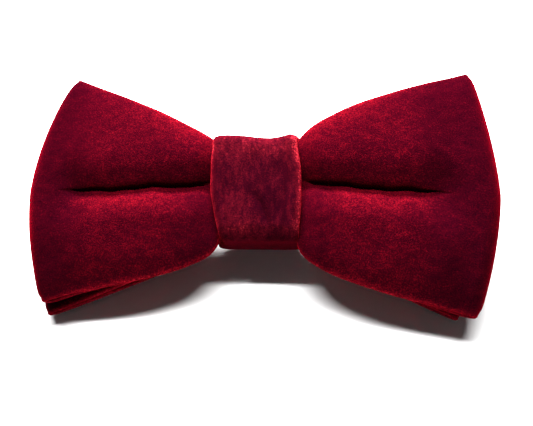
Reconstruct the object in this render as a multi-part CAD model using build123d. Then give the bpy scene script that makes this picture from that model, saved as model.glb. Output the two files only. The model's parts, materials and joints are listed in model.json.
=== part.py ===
from build123d import *
from collections import namedtuple
import copy
import math
import os

# A pre-tied velvet bow tie that clips to a shirt collar, lying on its back.
# The bow is drawn flat: X along its width, Y towards its top edge, Z out of its face.
# It is tilted only at the end, onto the two lower tips and the two clip tabs it rests on.
# Lengths are in millimetres, angles in degrees.

# Front outline of the bow
bow_width = 120.0
bow_height = 62.0
waist_height = 23.8
waist_length = 21.0
waist_rise = 0.7
shoulder = (15.4, 16.6)
edge_crown = 1.5
corner_radius = 1.6
shoulder_radius = 4.0
rest_tilt = 16.0

# Cloth
velvet = 0.6
interlining = 0.5
layer = 2 * velvet + interlining
hem = 2.5
thread = 0.4
fold_radius = 2.55
swell_radius = 40.0
tube_end_gap = 0.5

# Each loop, from its section along the width: heights above the plane between the loops at the
# side against the other loop, at the pinched waist, at the swollen wing and at its outer end.
# Then its corners' reach to the left and right, its ends' bulge past them, and its turn.
Loop = namedtuple("Loop", "inner waist waist_reach swell swell_at end left right bulge turn")
front_bulge = 7.0
front_reach = bow_width / 2 - front_bulge
front_loop = Loop(
    inner=0.3,
    waist=4.6,
    waist_reach=11.0,
    swell=8.2,
    swell_at=27.0,
    end=5.6,
    left=front_reach,
    right=front_reach,
    bulge=front_bulge,
    turn=-0.5,
)
back_loop = Loop(
    inner=-0.3,
    waist=-4.5,
    waist_reach=33.0,
    swell=-5.7,
    swell_at=46.0,
    end=-5.7,
    left=55.4,
    right=49.8,
    bulge=4.2,
    turn=0.3,
)

# Knot band, a folded strip that runs over the top, behind, and laps over its own start
band_width = 21.6
band_height = 28.8
band_depth = 15.8
band_corner_radius = 3.2
lap_start = -2.6
lap_end = -10.8
under_end = -6.4
lap_clearance = 0.1
wadding_size = (17.0, 19.0, 0.8)
waist_turns = 7
waist_turn_pitch = 1.4

# Stitches
stitch_thread = 0.36
join_stitches = 6
join_stitch_pitch = 3.6
join_stitch_bite = 1.4
seam_stitches = 7
seam_stitch_pitch = 2.8
seam_stitch_bite = 1.1

# Collar clip
clip_height = 3.0
bar_length = 62.0
bar_width = 9.0
bar_sheet = 0.8
bar_front = -5.2
bar_back = bar_front - bar_sheet
bar_end_radius = 2.5
seat_size = (6.2, 5.6, 0.3)
seat_reach = 25.8
seat_corner_radius = 0.8
pivot_reach = 20.0
pivot_height = 2.2
pin_diameter = 1.5
pin_head_diameter = 2.5
pin_head_height = 0.45
running_clearance = 0.05
ear_radius = 2.1
side_clearance = 0.1
lever_sheet = 0.7
lever_web_height = 4.45
jaw_reach = 30.0
jaw_shoulder = (27.2, 4.2)
jaw_gap = 0.12
tab_root = 18.0
tab_reach = 12.2
tab_corner_radius = 2.4
cheek_radius = 1.9
tooth_count = 4
tooth_pitch = 1.7
tooth_size = 0.8

# Torsion spring round each pivot pin
spring_wire = 0.6
spring_radius = 1.3
spring_turns = 4.5
spring_pitch = 0.68
spring_clearance = 0.1
spring_bar_reach = 14.4
spring_tab_bend = (17.3, 3.7)
spring_tab_reach = 14.2

# Worked out from the sizes above
half_height = bow_height / 2
lever_width = bar_width - 2 * bar_sheet - 2 * side_clearance
band_sheet = layer + lap_clearance
band_path_height = band_height / 2 - band_sheet / 2
band_path_depth = band_depth / 2 - band_sheet / 2
tilt = math.radians(rest_tilt)
tip_drop = half_height * math.sin(tilt) - back_loop.end * math.cos(tilt)
tab_low_side = clip_height - lever_width / 2
tab_floor = (tip_drop + tab_low_side * math.sin(tilt)) / math.cos(tilt) + bar_back
tab_slope = math.atan2(tab_floor - lever_web_height, tab_root - tab_reach)
tab_height = tab_floor - lever_sheet / 2 * math.cos(tab_slope)


def bow_outline(loop, inset=0.0):
    """Front outline of one loop, its long edges moved in: pinched waist and flared wings."""
    waist = (waist_length / 2, waist_height / 2 - inset)
    flare = (shoulder[0], shoulder[1] - inset)
    top = half_height - inset
    with BuildSketch() as sketch:
        with BuildLine():
            for side, reach in ((1, loop.right), (-1, loop.left)):
                crown = ((flare[0] + reach) / 2, (flare[1] + top) / 2 + edge_crown)
                end = (side * (reach + loop.bulge), 0)
                ThreePointArc((side * reach, top), end, (side * reach, -top))
                for edge in (1, -1):
                    pinch = (side * waist[0], waist_rise + edge * waist[1])
                    Line((0, pinch[1]), pinch)
                    Line(pinch, (side * flare[0], edge * flare[1]))
                    ThreePointArc(
                        (side * flare[0], edge * flare[1]),
                        (side * crown[0], edge * crown[1]),
                        (side * reach, edge * top),
                    )
        make_face()
        fillet(sketch.vertices().filter_by(lambda v: abs(v.Y) > top - 1), corner_radius)
        bends = sketch.vertices().filter_by(lambda v: 1 < abs(v.X) < shoulder[0] + 1)
        fillet(bends, shoulder_radius)
    return sketch.sketch


def end_bounds(loop, inset):
    """The space between a loop's two bowed ends, moved in by an inset, past its long edges."""
    with BuildSketch() as sketch:
        with BuildLine():
            for side, reach in ((1, loop.right), (-1, loop.left)):
                x = side * (reach - inset)
                end = (side * (reach + loop.bulge - inset), 0)
                ThreePointArc((x, half_height), end, (x, -half_height))
                for edge in (1, -1):
                    Line((x, edge * half_height), (x, edge * bow_height))
                    Line((x, edge * bow_height), (0, edge * bow_height))
        make_face()
    return sketch.sketch


def loop_profile(loop, inset=0.0):
    """Section of one loop along its width, seen along Y, moved in by an inset."""
    right = loop.right + loop.bulge
    left = loop.left + loop.bulge
    points = [
        (right, loop.inner),
        (right, loop.end),
        (loop.swell_at, loop.swell),
        (loop.waist_reach, loop.waist),
        (-loop.waist_reach, loop.waist),
        (-loop.swell_at, loop.swell),
        (-left, loop.end),
        (-left, loop.inner),
    ]
    with BuildSketch(Plane.XZ) as sketch:
        with BuildLine():
            Polyline(*points, close=True)
        make_face()
        fillet(sketch.vertices().filter_by(lambda v: abs(v.X) > min(left, right) - 1), fold_radius)
        bends = sketch.vertices().filter_by(lambda v: abs(v.X) < loop.swell_at + 1)
        fillet(bends, swell_radius)
        if inset:
            offset(amount=-inset, mode=Mode.REPLACE)
    return sketch.sketch


def loop_solid(loop, inset):
    """All that a loop holds, ends included, moved in from its outer face by an inset."""
    swell = extrude(loop_profile(loop, inset), amount=bow_height, both=True)
    return swell & extrude(end_bounds(loop, inset), amount=bow_height, both=True)


def loop_shell(loop, outer_inset, inner_inset, edge_inset):
    """The part of a loop between two depths in its cloth, open where the tube's ends meet."""
    outline = extrude(bow_outline(loop, edge_inset), amount=bow_height, both=True)
    slit_at = loop.inner + math.copysign(layer / 2, loop.inner)
    slit = Pos(0, 0, slit_at) * Box(tube_end_gap, bow_height, layer + velvet)
    shell = (loop_solid(loop, outer_inset) - loop_solid(loop, inner_inset)) & outline
    return Rot(0, 0, loop.turn) * (shell - slit)


def thread_ring(plane, corners, diameter, bend):
    """A closed ring of thread through the given corners."""
    with BuildPart() as ring:
        with BuildLine(plane) as path:
            FilletPolyline(*corners, radius=bend, close=True)
        with BuildSketch(Plane(path.line @ 0, z_dir=path.line % 0)):
            Circle(diameter / 2)
        sweep()
    return ring.part


def joining_stitches(loop):
    """Whip stitches that hold the two ends of the loop's tube together."""
    side = math.copysign(1, loop.inner)
    near = loop.inner
    far = loop.inner + side * (layer + stitch_thread / 2)
    bite = join_stitch_bite
    corners = [(-bite, near), (bite, near), (bite, far), (-bite, far)]
    rings = []
    for number in range(join_stitches):
        height = (number - (join_stitches - 1) / 2) * join_stitch_pitch
        plane = Plane.XZ.offset(-height)
        rings.append(thread_ring(plane, corners, stitch_thread, stitch_thread))
    return Rot(0, 0, loop.turn) * Compound(children=rings)


def waist_thread():
    """Turns of thread wound round both loops, under the knot band."""
    out = thread / 2 + velvet / 10
    top = waist_height / 2 + out
    corners = [
        (-top, back_loop.waist - out),
        (top, back_loop.waist - out),
        (top, front_loop.waist + out),
        (-top, front_loop.waist + out),
    ]
    turns = []
    for number in range(waist_turns):
        place = (number - (waist_turns - 1) / 2) * waist_turn_pitch
        turns.append(thread_ring(Plane.YZ.offset(place), corners, thread, thread))
    return Compound(children=turns)


def band_strip(sheet, width):
    """A strip along the knot band's path, from its covered start round to its lapped end."""
    up = band_path_height
    out = band_path_depth
    lap = out + band_sheet + lap_clearance
    points = [
        (under_end, -out),
        (-up, -out),
        (-up, out),
        (up, out),
        (up, -out),
        (lap_start, -out),
        (lap_start - band_sheet, -lap),
        (lap_end, -lap),
    ]
    corner = band_corner_radius
    with BuildSketch(Plane.YZ) as section:
        with BuildLine():
            FilletPolyline(*points, radius=[corner, corner, corner, corner, band_sheet, band_sheet])
        trace(line_width=sheet)
    return extrude(section.sketch, amount=width / 2, both=True)


def knot_wadding():
    """Soft pad between the waist thread and the front of the band."""
    width, height, depth = wadding_size
    front = band_depth / 2 - band_sheet - lap_clearance
    pad = Pos(0, 0, front - depth / 2) * Box(width, height, depth)
    return fillet(pad.edges().filter_by(Axis.Z), 3 * depth)


def seam_stitch_rings():
    """Whip stitches over the lapped end of the band, behind the knot."""
    bite = seam_stitch_bite
    skin = -band_depth / 2
    lap_face = skin - band_sheet - lap_clearance - stitch_thread / 4
    corners = [
        (lap_end + bite, lap_face),
        (lap_end - bite, skin),
        (lap_end - bite, skin + velvet),
        (lap_end + bite, skin + velvet),
    ]
    rings = []
    for number in range(seam_stitches):
        place = (number - (seam_stitches - 1) / 2) * seam_stitch_pitch
        ring = thread_ring(Plane.YZ.offset(place), corners, stitch_thread, stitch_thread)
        rings.append(ring)
    return Compound(children=rings)


def clip_point(reach, height):
    """A point on the right clip's side view, from its reach along the bar and height off it."""
    return (reach, bar_back - height)


def extrude_across(sketch, width, centre=clip_height):
    """Extrude a side view of the clip to a width, centred on a height of the bow."""
    return Pos(0, centre, 0) * extrude(sketch, amount=width / 2, both=True)


def clip_ears():
    """The pair of pierced ears that holds the right lever."""
    pivot = clip_point(pivot_reach, pivot_height)
    with BuildSketch(Plane.XZ) as ear:
        with Locations(pivot):
            Circle(ear_radius)
        with Locations((pivot[0], (pivot[1] + bar_back) / 2)):
            Rectangle(2 * ear_radius, pivot_height)
        with Locations(pivot):
            Circle(pin_diameter / 2 + running_clearance, mode=Mode.SUBTRACT)
    ears = []
    for edge in (-1, 1):
        centre = clip_height + edge * (bar_width - bar_sheet) / 2
        ears.append(extrude_across(ear.sketch, bar_sheet, centre))
    return ears


def collar_seat():
    """Raised flat under the right jaw, where the collar leaf lies."""
    length, width, rise = seat_size
    seat = Pos(seat_reach, clip_height, bar_back - rise / 2) * Box(length, width, rise)
    return fillet(seat.edges().filter_by(Axis.Z), seat_corner_radius)


def clip_bar():
    """Flat steel strip through the knot, with a seat and a pair of ears for each lever."""
    with BuildSketch(Plane.XY.offset(bar_back)) as outline:
        with Locations((0, clip_height)):
            RectangleRounded(bar_length, bar_width, bar_end_radius)
    bar = extrude(outline.sketch, amount=bar_sheet)
    for detail in clip_ears() + [collar_seat()]:
        bar += detail
        bar += mirror(detail, about=Plane.YZ)
    return bar


def lever_web():
    """The lever's bent sheet: turned-down jaw, flat back over the pivot, raised thumb tab."""
    stations = [
        (jaw_reach, jaw_gap),
        (jaw_reach, jaw_shoulder[1] - lever_sheet),
        jaw_shoulder,
        (tab_root, lever_web_height),
        (tab_reach, tab_height),
    ]
    with BuildSketch(Plane.XZ) as section:
        with BuildLine():
            FilletPolyline(*[clip_point(*station) for station in stations], radius=lever_sheet)
        trace(line_width=lever_sheet)
    web = extrude_across(section.sketch, lever_width)
    length = 2 * jaw_reach
    centre = tab_reach - lever_sheet / 4 + length / 2
    with BuildSketch(Plane.XY.offset(bar_back)) as plan:
        with Locations((centre, clip_height)):
            RectangleRounded(length, lever_width, tab_corner_radius)
    return web & extrude(plan.sketch, amount=-2 * tab_height)


def lever_cheeks():
    """Two side walls that carry the lever on its pin."""
    foot = cheek_radius * 0.8
    low = pivot_height - cheek_radius / 2
    back = 0.8 * cheek_radius
    stations = [
        jaw_shoulder,
        (pivot_reach + foot, low),
        (pivot_reach - foot, low),
        (tab_root - back, lever_web_height + back * math.tan(tab_slope)),
        (tab_root, lever_web_height),
    ]
    with BuildSketch(Plane.XZ) as wall:
        Polygon(*[clip_point(*station) for station in stations], align=None)
        with Locations(clip_point(pivot_reach, pivot_height)):
            Circle(cheek_radius)
            Circle(pin_diameter / 2 + running_clearance, mode=Mode.SUBTRACT)
    cheeks = []
    for edge in (-1, 1):
        centre = clip_height + edge * (lever_width - lever_sheet) / 2
        cheeks.append(extrude_across(wall.sketch, lever_sheet, centre))
    return cheeks


def lever():
    """The right sprung lever, with teeth along the lip of its jaw."""
    body = lever_web()
    for cheek in lever_cheeks():
        body += cheek
    lip_x, lip_z = clip_point(jaw_reach, jaw_gap)
    for number in range(tooth_count):
        place = clip_height + (number - (tooth_count - 1) / 2) * tooth_pitch
        notch = Box(2 * lever_sheet, tooth_size, tooth_size)
        body -= Pos(lip_x, place, lip_z) * Rot(45, 0, 0) * notch
    return body


def pivot_pin():
    """Riveted pin through the right ears and the lever's cheeks."""
    x, z = clip_point(pivot_reach, pivot_height)
    head_at = bar_width / 2 + pin_head_height / 2
    pin = Cylinder(pin_diameter / 2, bar_width + pin_head_height)
    for end in (-1, 1):
        head = Pos(0, 0, end * head_at) * Cylinder(pin_head_diameter / 2, pin_head_height)
        rim = head.edges().sort_by(Axis.Z)[-1 if end > 0 else 0]
        pin += fillet(rim, pin_head_height / 2)
    return Pos(x, clip_height, z) * Rot(90, 0, 0) * pin


def wire_run(points, diameter):
    """Straight runs of round wire, with rounded ends and bends."""
    run = Pos(*points[0]) * Sphere(diameter / 2)
    for start, end in zip(points, points[1:]):
        step = Vector(*end) - Vector(*start)
        run += Solid.make_cylinder(diameter / 2, step.length, Plane(start, z_dir=step))
        run += Pos(*end) * Sphere(diameter / 2)
    return run


def torsion_spring():
    """Coil round the right pin, with one leg on the bar and one under the thumb tab."""
    x, z = clip_point(pivot_reach, pivot_height)
    coil_length = spring_pitch * spring_turns
    low_y = clip_height - coil_length / 2
    high_y = clip_height + coil_length / 2
    coil_frame = Plane((x, low_y, z), x_dir=(0, 0, 1), z_dir=(0, 1, 0))
    turns = coil_frame * Helix(spring_pitch, coil_length, spring_radius)
    spring = sweep(Plane(turns @ 0, z_dir=turns % 0) * Circle(spring_wire / 2), path=turns)
    tab_underside = lever_web_height + math.tan(tab_slope) * (tab_root - spring_tab_reach)
    wire_offset = (lever_sheet + spring_wire) / 2 / math.cos(tab_slope) + spring_clearance
    bar_leg = [
        (pivot_reach, pivot_height - spring_radius),
        (spring_bar_reach, spring_wire / 2 + spring_clearance),
    ]
    tab_leg = [
        (pivot_reach, pivot_height + spring_radius),
        spring_tab_bend,
        (spring_tab_reach, tab_underside - wire_offset),
    ]
    for leg, y in ((bar_leg, low_y), (tab_leg, high_y)):
        points = []
        for station in leg:
            leg_x, leg_z = clip_point(*station)
            points.append((leg_x, y, leg_z))
        spring += wire_run(points, spring_wire)
    return spring


def bow_parts():
    """Every piece of the bow tie by name, with the bow drawn flat."""
    parts = {}
    for name, loop in (("front_loop", front_loop), ("back_loop", back_loop)):
        core = loop_shell(loop, velvet, velvet + interlining, hem)
        parts[name + "_velvet"] = loop_shell(loop, 0.0, layer, 0.0) - core
        parts[name + "_interlining"] = core
        parts[name + "_stitches"] = joining_stitches(loop)
    band_core = band_strip(interlining, band_width - 2 * hem)
    parts["knot_velvet"] = band_strip(band_sheet, band_width) - band_core
    parts["knot_interlining"] = band_core
    parts["knot_wadding"] = knot_wadding()
    parts["knot_stitches"] = seam_stitch_rings()
    parts["waist_thread"] = waist_thread()
    for name in parts:
        if name.startswith(("knot", "waist")):
            parts[name] = Pos(0, waist_rise, 0) * parts[name]
    parts["clip_bar"] = clip_bar()
    clip = {"lever": lever(), "pivot_pin": pivot_pin(), "spring": torsion_spring()}
    for name, piece in clip.items():
        parts["right_" + name] = piece
        parts["left_" + name] = mirror(piece, about=Plane.YZ)
    return parts


def at_rest(parts):
    """Tilt every piece back and stand the whole on the origin, over the middle of its box."""
    tilted = {name: Rot(rest_tilt, 0, 0) * part for name, part in parts.items()}
    box = Compound(children=[copy.copy(part) for part in tilted.values()]).bounding_box()
    move = Pos(-box.center().X, -box.center().Y, -box.min.Z)
    print("bow centre at rest", move.position)
    return {name: move * part for name, part in tilted.items()}


os.makedirs("parts", exist_ok=True)
for part_name, part in at_rest(bow_parts()).items():
    export_step(part, f"parts/{part_name}.step")
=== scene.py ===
import json
import math

import bmesh
import bpy
import numpy as np
from mathutils import Matrix, Vector


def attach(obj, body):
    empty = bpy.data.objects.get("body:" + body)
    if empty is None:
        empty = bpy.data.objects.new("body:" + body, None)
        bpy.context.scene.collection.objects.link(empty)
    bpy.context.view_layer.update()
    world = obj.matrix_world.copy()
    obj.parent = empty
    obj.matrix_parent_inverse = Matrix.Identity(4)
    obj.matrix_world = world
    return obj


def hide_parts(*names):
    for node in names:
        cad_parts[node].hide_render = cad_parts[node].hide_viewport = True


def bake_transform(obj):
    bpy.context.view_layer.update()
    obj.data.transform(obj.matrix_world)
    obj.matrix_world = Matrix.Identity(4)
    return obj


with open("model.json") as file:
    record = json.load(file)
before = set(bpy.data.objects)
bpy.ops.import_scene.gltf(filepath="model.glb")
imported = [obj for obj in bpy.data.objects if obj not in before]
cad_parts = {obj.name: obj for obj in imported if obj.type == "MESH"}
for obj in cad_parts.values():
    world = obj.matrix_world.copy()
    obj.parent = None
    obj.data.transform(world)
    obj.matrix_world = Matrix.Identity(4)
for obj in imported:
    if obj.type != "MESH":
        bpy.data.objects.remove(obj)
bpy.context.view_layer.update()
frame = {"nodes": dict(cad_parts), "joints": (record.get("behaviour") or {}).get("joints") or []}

LEFT, RIGHT = -1, 1
TOP, BOTTOM = 1, -1

# ---------------------------------------------------------------- the bow's own axes
# The bow is drawn flat in millimetres: x along its width, y towards its top edge and
# z out of its face. The frame says how far it leans and where it stands.
MM = 0.001
PIVOT_REACH = 20.0
PIVOT_Y = 3.0
PIVOT_Z = -8.2
HINGE = next(j for j in frame["joints"] if j["name"] == "right_lever_hinge")
LEAN = math.atan2(HINGE["axis"][2], HINGE["axis"][1])
PIVOT = Vector((PIVOT_REACH, PIVOT_Y, PIVOT_Z)) * MM
TO_ROW = Matrix.Translation(HINGE["pos_m"]) @ Matrix.Rotation(LEAN, 4, "X") @ Matrix.Translation(-PIVOT)


def to_row(points):
    """Bow millimetres to row metres, for an array of points."""
    turn = np.array(TO_ROW.to_3x3())
    return points * MM @ turn.T + np.array(TO_ROW.translation)


def smooth(x, low, high):
    """0 below low, 1 above high, and a smooth rise between."""
    s = np.clip((x - low) / (high - low), 0.0, 1.0)
    return s * s * (3.0 - 2.0 * s)


def between(first, second, share):
    return first * (1 - share) + second * share


def plateau(x, low, full, fade, high):
    """0 below low, 1 from full to fade, and 0 again above high."""
    return smooth(x, low, full) * (1.0 - smooth(x, fade, high))


def stepped(x, start, steps):
    """A starting value and what is added to it: each (change, low, high) comes in from low to high."""
    total = start
    for change, low, high in steps:
        total = total + change * smooth(x, low, high)
    return total


def bump_at(x, centre, width):
    """A smooth rounded rise of height 1 about a centre."""
    return np.exp(-(((x - centre) / width) ** 2))


def bumps(x, rises):
    """Rounded rises and dips added up, each a (height, centre, width)."""
    return sum(height * bump_at(x, centre, width) for height, centre, width in rises)


# A ripple's wave is (radians per millimetre across, radians per millimetre up, share of the phase).
RIPPLE_WAVES = ((0.19, 0.07, 1.0), (-0.05, 0.23, 2.0), (0.41, -0.33, 3.1))
RIPPLE_SHORT = 0.5
RIPPLE_HEIGHT = 0.12
NAP_WAVES = 5
NAP_TURN = 2.4
NAP_PITCH = (1.1, 0.37)
NAP_PHASE = 1.7
NAP_HEIGHT = 0.035


def ripple(x, y, phase):
    """Slow uneven waves that keep the cloth from looking machined."""
    waves = [np.sin(across * x + up * y + share * phase) for across, up, share in RIPPLE_WAVES]
    return waves[0] * waves[1] + RIPPLE_SHORT * waves[2]


def nap(x, y):
    """Small unevenness of the cloth's surface, from waves that never line up."""
    total = 0.0 * x
    for number in range(1, NAP_WAVES + 1):
        angle = NAP_TURN * number
        across = math.cos(angle) * x + math.sin(angle) * y
        pitch = NAP_PITCH[0] + NAP_PITCH[1] * number
        total = total + np.sin(pitch * across + NAP_PHASE * number)
    return total / NAP_WAVES


def surface_waves(x, y, phase):
    """The ripples and the nap of a wing's face, in millimetres."""
    return RIPPLE_HEIGHT * ripple(x, y, phase) + NAP_HEIGHT * nap(x, y)


# ---------------------------------------------------------------- cloth sizes
# Thickness of the velvet and of the folded tube, how far the tube's hem reaches in, and the gap
# round its interlining. Then the points round an edge, and how many stations apart the rings of the
# tube's inside are.
VELVET = 0.6
PLY = 1.7
HEM = 2.5
LINING_GAP = 0.06
EDGE_STEPS = 4
CAVITY_STRIDE = 3

# ---------------------------------------------------------------- loops
# What both loops share: the waist they are pinched to, the grid over a wing, the rolled fold at its
# end, the reach over which its faces settle into that fold, and the least room left inside.
WAIST_EDGE = {TOP: 12.5, BOTTOM: 10.8}
WAIST_RISE = 0.7
WAIST_END = {(LEFT, TOP): 9.6, (LEFT, BOTTOM): 9.0, (RIGHT, TOP): 9.6, (RIGHT, BOTTOM): 10.1}
LOOP_STATIONS = 84
LOOP_ROWS = 83
FOLD_STEPS = 10
FOLD_REACH = 2.6
SETTLE = 9.0
SLIT_HALF = 0.25
OVERRUN = 1.3
TIP_REACH = 11.0
CORNER_ROUND = 0.5
CORNER_POWER = 32.0
ROW_BEND = 1.55
ROW_CROWD = 0.05
STATION_BEND = 0.92
TIGHTEST_FOLD = 0.2
LEAST_ROOM = 0.1
NEARBY = 0.9 * PLY
RECESS_REACH = 24.0
EDGE_ROLL_POWER = 9

# The front wings' valley: its height at the knot, how it falls and wanders, and where it opens out.
# Spans are distances from the middle, and wanders are (height, radians per millimetre, phase).
GROOVE_TOP = {LEFT: 2.4, RIGHT: 2.85}
GROOVE_FALL = {LEFT: 2.9, RIGHT: 3.5}
GROOVE_START = 11.0
GROOVE_RUN = 39.0
GROOVE_OVERRUN = 1.1
GROOVE_RISE = 0.7
GROOVE_RISE_SPAN = (9, 20)
GROOVE_WANDER = ((0.22, 0.33, 1.0), (0.12, 0.83, 2.0))
GROOVE_WANDER_SPAN = (14, 20)
OPEN_START = {LEFT: 43.5, RIGHT: 39.0}
OPEN_RUN = 10.0
OPEN_SHALLOW = 0.5
OPEN_LIP = 1.5
LIP_WIDTH = 9.4
LIP_BLUFF = 1.65
LIP_STEP = 0.35
BROW_WIDTH = 11.0
BROW_BLUFF = 2.0
BROW_DEPTH = 0.7

# Heights of the front wings' face by distance from the middle, for `stepped`. A drop is the fall
# towards an edge, a roll is at the edge itself, and the least is as low as the face may come.
CROWN = (4.5, ((1.3, 5.0, 10.0), (3.0, 9.5, 17.0), (0.9, 16, 28), (-1.5, 34, 64)))
VALLEY_DEPTH = (0.0, ((5.6, 6, 11), (-1.2, 24, 46), (-4.4, 45, 58)))
TOP_DROP = (2.8, ((1.2, 20, 45),))
TOP_DROP_START = 5.0
TOP_DROP_BEND = 1.7
LOW_DROP = (1.7, ((0.9, 20, 45),))
LOW_DROP_BEND = 1.5
DROP_SPAN = (9, 18)
FRONT_ROLL = (0.5, ((0.5, 14, 40),))
FRONT_LEAST = (3.4, ((-0.9, 20, 50),))
FRONT_WAVE_SPAN = (12, 24)
FRONT_PHASE = 0.4

# The back loop's rear face: creases are (depth, slope, height at the middle, width), and the face is
# plain near the clip.
REAR_LEVEL = -4.35
REAR_PUFF_SPAN = (32, 46, 50, 62)
REAR_RIDGE = 1.5
REAR_RIDGE_SPAN = (11, 16, 20, 46)
REAR_CREASES = ((0.8, -0.16, 9.5, 1.6), (0.7, 0.2, -6.5, 1.5))
REAR_CREASE_SPAN = (11, 16, 22, 38)
REAR_ROLL = 0.6
REAR_WAVE_SPAN = (33, 42)
REAR_PHASE = 1.9
OFF_CLIP_SPAN = (5.5, 11.0)


class LoopShape:
    """One folded loop: its outline in each quarter and the heights of its two faces."""

    def __init__(self, mid, corner_reach, corner_half, flare, tip, bow_power, turn, face, back,
                 groove, waist_inset, recess):
        self.mid = mid
        self.corner_reach = corner_reach
        self.corner_half = corner_half
        self.flare = flare
        self.tip = tip
        self.bow_power = bow_power
        self.turn = math.radians(turn)
        self.face = face
        self.back = back
        self.groove = groove
        self.waist_inset = waist_inset
        self.recess = recess

    def end(self, side, t):
        """How far the loop's end stands out, at a fraction of its half height."""
        reaches = []
        for edge in (TOP, BOTTOM):
            bulge = self.mid[side] - self.corner_reach[side, edge]
            bowed = self.mid[side] - bulge * np.abs(t) ** self.bow_power[side, edge]
            reaches.append(bowed - CORNER_ROUND * np.abs(t) ** CORNER_POWER)
        return np.where(t >= 0, reaches[0], reaches[1])

    def half(self, reach, side, edge):
        """Half the height of a wing at a distance from the middle, above or below it."""
        corner = self.corner_reach[side, edge]
        start = WAIST_END[side, edge]
        run = np.clip((reach - start) / (corner - start), 0.0, OVERRUN)
        waist = WAIST_EDGE[edge] - self.waist_inset
        tip = self.tip[side, edge] * smooth(reach, corner - TIP_REACH, corner)
        return waist + (self.corner_half[side, edge] - waist) * run ** self.flare[side, edge] + tip

    def rows(self, reach, side, t, inset):
        """Heights across the wing at each distance from the middle, and its half height there."""
        line = self.groove(side, reach)
        top = self.half(reach, side, TOP) - inset
        low = self.half(reach, side, BOTTOM) - inset
        y = np.where(t >= 0, line + t * (top - line), line + t * (low + line))
        return y, np.where(t >= 0, top, low)


def front_groove(side, reach):
    """Height of the valley across the front of a wing, which falls outwards and wanders a little."""
    run = np.clip((reach - GROOVE_START) / GROOVE_RUN, 0.0, GROOVE_OVERRUN)
    wander = sum(height * np.sin(pitch * reach + phase * side) for height, pitch, phase in GROOVE_WANDER)
    rise = GROOVE_RISE * (1.0 - smooth(reach, *GROOVE_RISE_SPAN))
    steady = GROOVE_TOP[side] + rise - GROOVE_FALL[side] * run
    return steady + wander * smooth(reach, *GROOVE_WANDER_SPAN)


def no_groove(side, reach):
    """A wing without a valley."""
    return 0.0 * reach


def valley_side(away, width, bluff):
    """Rise from a valley at 0 to 1 at a width, steepest at the valley."""
    inner = np.clip(1.0 - away / width, 0.0, 1.0)
    return (1.0 - inner ** bluff) ** (1.0 / bluff)


def edge_fall(away, start, room, drop, bend):
    """How far a face has dropped on its way out from beside the valley to the wing's edge."""
    return drop * np.clip((away - start) / (room - start), 0.0, 1.0) ** bend


def front_upper(above, room, reach, crown, depth, open_out):
    """The face above the valley: a brow that bends over and falls towards the top edge."""
    brow = valley_side(above, BROW_WIDTH, BROW_BLUFF)
    brow = between(brow, smooth(above, 0.0, BROW_WIDTH), open_out)
    brow_depth = depth * between(BROW_DEPTH, 1.0, open_out)
    drop = stepped(reach, *TOP_DROP) * smooth(reach, *DROP_SPAN)
    return crown - brow_depth * (1.0 - brow) - edge_fall(above, TOP_DROP_START, room, drop, TOP_DROP_BEND)


def front_lower(below, room, reach, crown, depth, open_out):
    """The face below the valley: a rolled lip that falls towards the lower edge."""
    lip = valley_side(below, LIP_WIDTH, LIP_BLUFF)
    lip = between(lip, smooth(below, 0.0, OPEN_LIP * LIP_WIDTH), open_out)
    drop = stepped(reach, *LOW_DROP) * smooth(reach, *DROP_SPAN)
    fall = edge_fall(below, LIP_WIDTH, room, drop, LOW_DROP_BEND)
    return crown - LIP_STEP * (1.0 - open_out) - depth * (1.0 - lip) - fall


def front_face(x, y, half):
    """Height of the front loop's face."""
    reach = np.abs(x)
    line = np.where(x >= 0, front_groove(RIGHT, reach), front_groove(LEFT, reach))
    open_start = np.where(x >= 0, OPEN_START[RIGHT], OPEN_START[LEFT])
    open_out = smooth(reach, open_start, open_start + OPEN_RUN)
    crown = stepped(reach, *CROWN)
    depth = stepped(reach, *VALLEY_DEPTH) * (1.0 - OPEN_SHALLOW * open_out)
    upper = front_upper(y - line, half - line, reach, crown, depth, open_out)
    lower = front_lower(line - y, half + line, reach, crown, depth, open_out)
    face = np.where(y > line, upper, lower)
    roll = stepped(reach, *FRONT_ROLL) * (np.abs(y) / half) ** EDGE_ROLL_POWER
    wave = surface_waves(x, y, FRONT_PHASE) * smooth(reach, *FRONT_WAVE_SPAN)
    return np.maximum(face - roll + wave, stepped(reach, *FRONT_LEAST))


def inner_back(level):
    """The face that lies against the other loop."""
    def face(x, y, half):
        return level + 0.0 * x * y
    return face


def rear_face(x, y, half):
    """Height of the back loop's rear face, flat where the clip lies on it."""
    reach = np.abs(x)
    off_clip = smooth(np.abs(y - PIVOT_Y), *OFF_CLIP_SPAN)
    puff = plateau(reach, *REAR_PUFF_SPAN)
    ridge = REAR_RIDGE * off_clip * plateau(reach, *REAR_RIDGE_SPAN)
    crease = sum(depth * bump_at(y + slope * reach, height, width)
                 for depth, slope, height, width in REAR_CREASES)
    crease = crease * off_clip * plateau(reach, *REAR_CREASE_SPAN)
    roll = REAR_ROLL * (np.abs(y) / half) ** EDGE_ROLL_POWER
    wave = surface_waves(x, y, REAR_PHASE) * smooth(reach, *REAR_WAVE_SPAN)
    return REAR_LEVEL - puff - ridge + crease + roll + wave


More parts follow.
